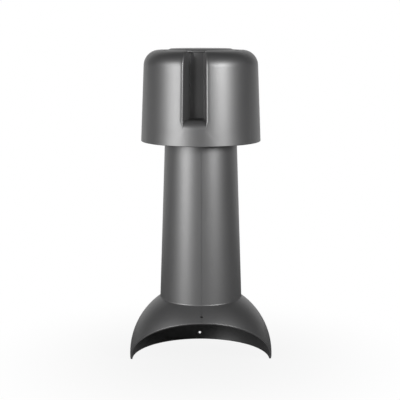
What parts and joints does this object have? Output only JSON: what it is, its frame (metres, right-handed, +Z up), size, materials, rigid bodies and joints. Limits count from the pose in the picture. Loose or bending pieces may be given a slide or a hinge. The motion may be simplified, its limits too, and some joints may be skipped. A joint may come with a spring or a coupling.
{
  "type": "roof vent pipe",
  "caption": "Roof vent outlet: tapered plastic pipe on a ball-shaped foot with a cut-away front, under a push-on rain cap with drained recesses.",
  "frame": {"origin": "the pipe's axis at the level of the foot's lower rim", "axes": "+Z up along the pipe's axis, -Y towards the cut-away front of the foot, +X to the right seen from the front"},
  "size_m": [0.22, 0.2, 0.4794],
  "materials": {
    "graphite_plastic": "satin moulded dark grey plastic"
  },
  "bodies": {
    "root": {"vent_pipe": "graphite_plastic", "rain_cap": "graphite_plastic"}
  },
  "joints": []
}
